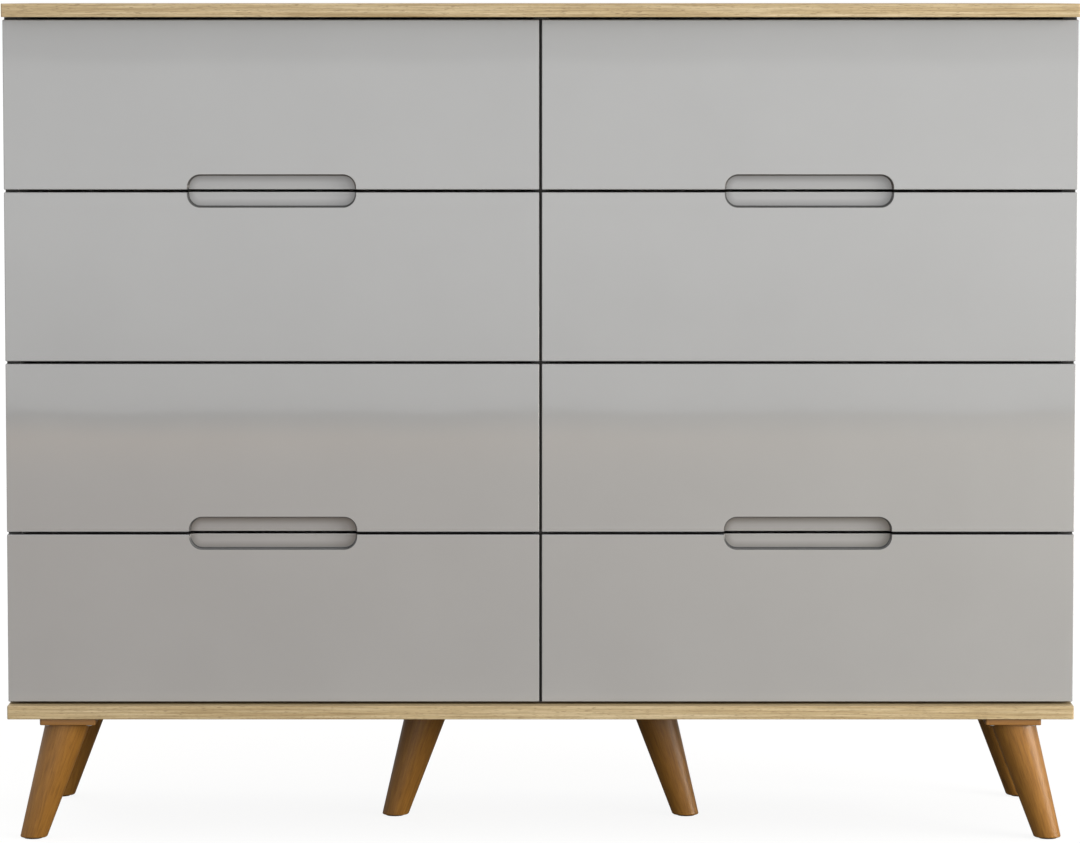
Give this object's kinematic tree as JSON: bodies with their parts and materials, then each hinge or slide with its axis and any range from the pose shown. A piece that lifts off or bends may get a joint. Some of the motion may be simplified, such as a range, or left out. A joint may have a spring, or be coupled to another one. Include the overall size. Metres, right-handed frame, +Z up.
{
  "type": "dresser with drawers",
  "caption": "Wide chest of drawers with high-gloss fronts, recessed grips, oak-look top and bottom boards and splayed round legs.",
  "frame": {"origin": "on the floor, under the middle of the dresser", "axes": "+X to the right seen from the front, -Y the way the drawers open, +Z up"},
  "size_m": [1.28, 0.4, 1.006],
  "materials": {
    "oak_decor_laminate": "oak decor laminate on chipboard, satin",
    "grey_melamine_board": "grey melamine-faced chipboard, satin",
    "gloss_grey_foil": "fibreboard wrapped in high-gloss light grey foil",
    "white_faced_hardboard": "painted hardboard, matt",
    "white_foil_chipboard": "chipboard wrapped in white foil, satin",
    "stained_beech": "turned beech, stained and lacquered",
    "white_coated_steel": "white epoxy-coated sheet steel"
  },
  "bodies": {
    "carcass": {"top_board": "oak_decor_laminate", "bottom_board": "oak_decor_laminate", "side_panel_left": "grey_melamine_board", "side_panel_right": "grey_melamine_board", "centre_partition": "grey_melamine_board", "back_panel_left": "white_faced_hardboard", "back_panel_right": "white_faced_hardboard", "leg_front_left": "stained_beech", "leg_plate_front_left": "stained_beech", "leg_front_right": "stained_beech", "leg_plate_front_right": "stained_beech", "leg_rear_left": "stained_beech", "leg_plate_rear_left": "stained_beech", "leg_rear_right": "stained_beech", "leg_plate_rear_right": "stained_beech", "leg_centre_left": "stained_beech", "leg_plate_centre_left": "stained_beech", "leg_centre_right": "stained_beech", "leg_plate_centre_right": "stained_beech", "runner_1_left_inner": "white_coated_steel", "runner_1_left_outer": "white_coated_steel", "runner_1_right_inner": "white_coated_steel", "runner_1_right_outer": "white_coated_steel", "runner_2_left_inner": "white_coated_steel", "runner_2_left_outer": "white_coated_steel", "runner_2_right_inner": "white_coated_steel", "runner_2_right_outer": "white_coated_steel", "runner_3_left_inner": "white_coated_steel", "runner_3_left_outer": "white_coated_steel", "runner_3_right_inner": "white_coated_steel", "runner_3_right_outer": "white_coated_steel", "runner_4_left_inner": "white_coated_steel", "runner_4_left_outer": "white_coated_steel", "runner_4_right_inner": "white_coated_steel", "runner_4_right_outer": "white_coated_steel"},
    "drawer_1_left": {"front_1_left": "gloss_grey_foil", "drawer_wrap_1_left": "white_foil_chipboard", "drawer_bottom_1_left": "white_faced_hardboard"},
    "drawer_1_right": {"front_1_right": "gloss_grey_foil", "drawer_wrap_1_right": "white_foil_chipboard", "drawer_bottom_1_right": "white_faced_hardboard"},
    "drawer_2_left": {"front_2_left": "gloss_grey_foil", "drawer_wrap_2_left": "white_foil_chipboard", "drawer_bottom_2_left": "white_faced_hardboard"},
    "drawer_2_right": {"front_2_right": "gloss_grey_foil", "drawer_wrap_2_right": "white_foil_chipboard", "drawer_bottom_2_right": "white_faced_hardboard"},
    "drawer_3_left": {"front_3_left": "gloss_grey_foil", "drawer_wrap_3_left": "white_foil_chipboard", "drawer_bottom_3_left": "white_faced_hardboard"},
    "drawer_3_right": {"front_3_right": "gloss_grey_foil", "drawer_wrap_3_right": "white_foil_chipboard", "drawer_bottom_3_right": "white_faced_hardboard"},
    "drawer_4_left": {"front_4_left": "gloss_grey_foil", "drawer_wrap_4_left": "white_foil_chipboard", "drawer_bottom_4_left": "white_faced_hardboard"},
    "drawer_4_right": {"front_4_right": "gloss_grey_foil", "drawer_wrap_4_right": "white_foil_chipboard", "drawer_bottom_4_right": "white_faced_hardboard"}
  },
  "joints": [
    {"name": "drawer_1_left_slide", "type": "slide", "parent": "carcass", "child": "drawer_1_left", "axis": [0, -1, 0], "range_m": [0, 0.26]},
    {"name": "drawer_1_right_slide", "type": "slide", "parent": "carcass", "child": "drawer_1_right", "axis": [0, -1, 0], "range_m": [0, 0.26]},
    {"name": "drawer_2_left_slide", "type": "slide", "parent": "carcass", "child": "drawer_2_left", "axis": [0, -1, 0], "range_m": [0, 0.26]},
    {"name": "drawer_2_right_slide", "type": "slide", "parent": "carcass", "child": "drawer_2_right", "axis": [0, -1, 0], "range_m": [0, 0.26]},
    {"name": "drawer_3_left_slide", "type": "slide", "parent": "carcass", "child": "drawer_3_left", "axis": [0, -1, 0], "range_m": [0, 0.26]},
    {"name": "drawer_3_right_slide", "type": "slide", "parent": "carcass", "child": "drawer_3_right", "axis": [0, -1, 0], "range_m": [0, 0.26]},
    {"name": "drawer_4_left_slide", "type": "slide", "parent": "carcass", "child": "drawer_4_left", "axis": [0, -1, 0], "range_m": [0, 0.26]},
    {"name": "drawer_4_right_slide", "type": "slide", "parent": "carcass", "child": "drawer_4_right", "axis": [0, -1, 0], "range_m": [0, 0.26]}
  ]
}
